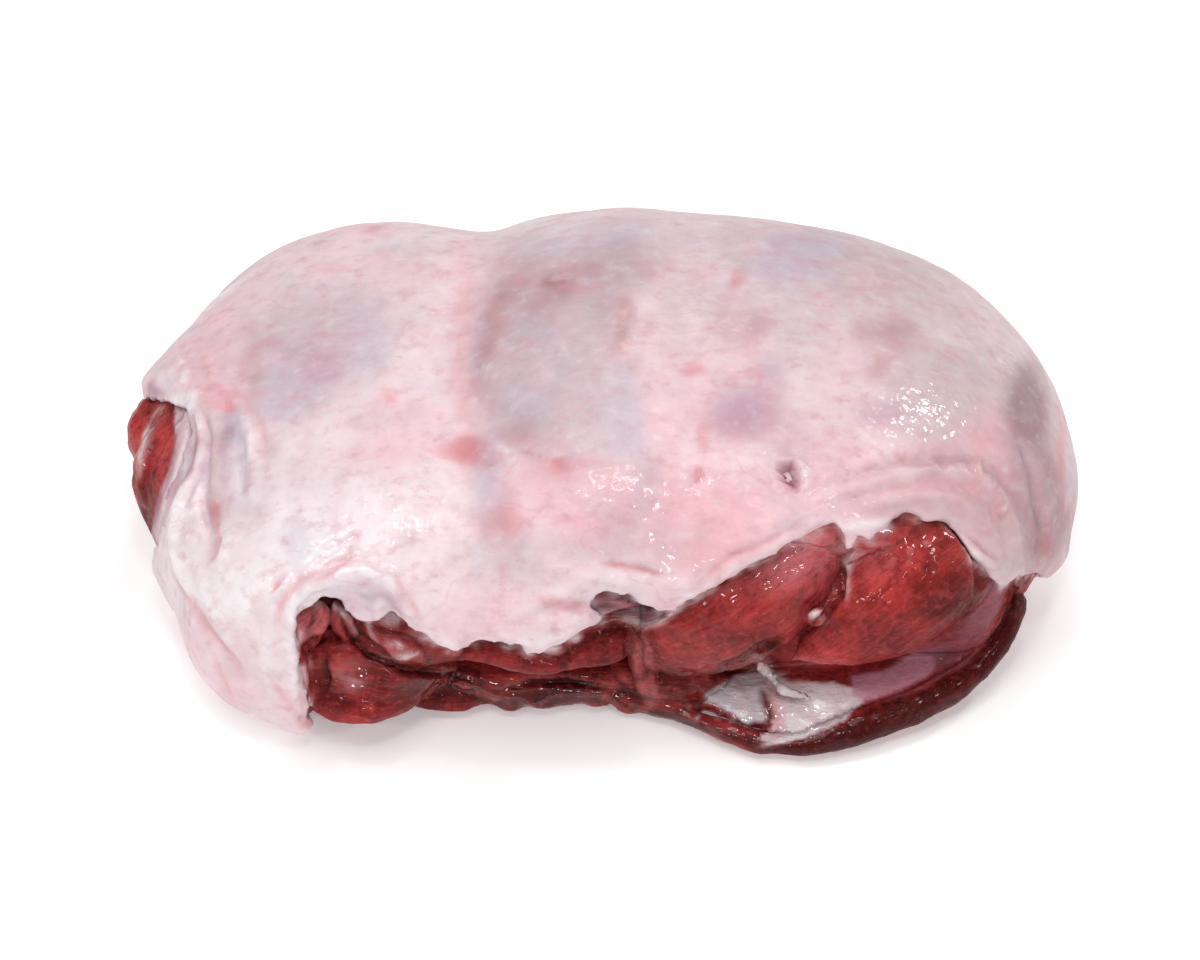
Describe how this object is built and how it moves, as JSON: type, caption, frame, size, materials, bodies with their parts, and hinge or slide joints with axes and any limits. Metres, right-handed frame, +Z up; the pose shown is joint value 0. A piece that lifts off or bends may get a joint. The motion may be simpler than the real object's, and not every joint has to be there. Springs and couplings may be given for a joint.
{
  "type": "leg of lamb",
  "caption": "Raw boned leg of lamb, folded into a cushion under a sheet of fat, with dark muscles showing along one side.",
  "frame": {"origin": "on the resting plane, under the middle of the joint", "axes": "+X along the joint from the thin shank end to the thick rump end, -Y out of the open side where the muscles show, +Z up"},
  "size_m": [0.248, 0.1514, 0.0836],
  "materials": {
    "lean": "wet raw muscle, dark red, glossy",
    "fat": "moist fat and membrane, pale pink, satin"
  },
  "bodies": {
    "root": {"lean_meat": "lean", "fat_cover": "fat"}
  },
  "joints": []
}
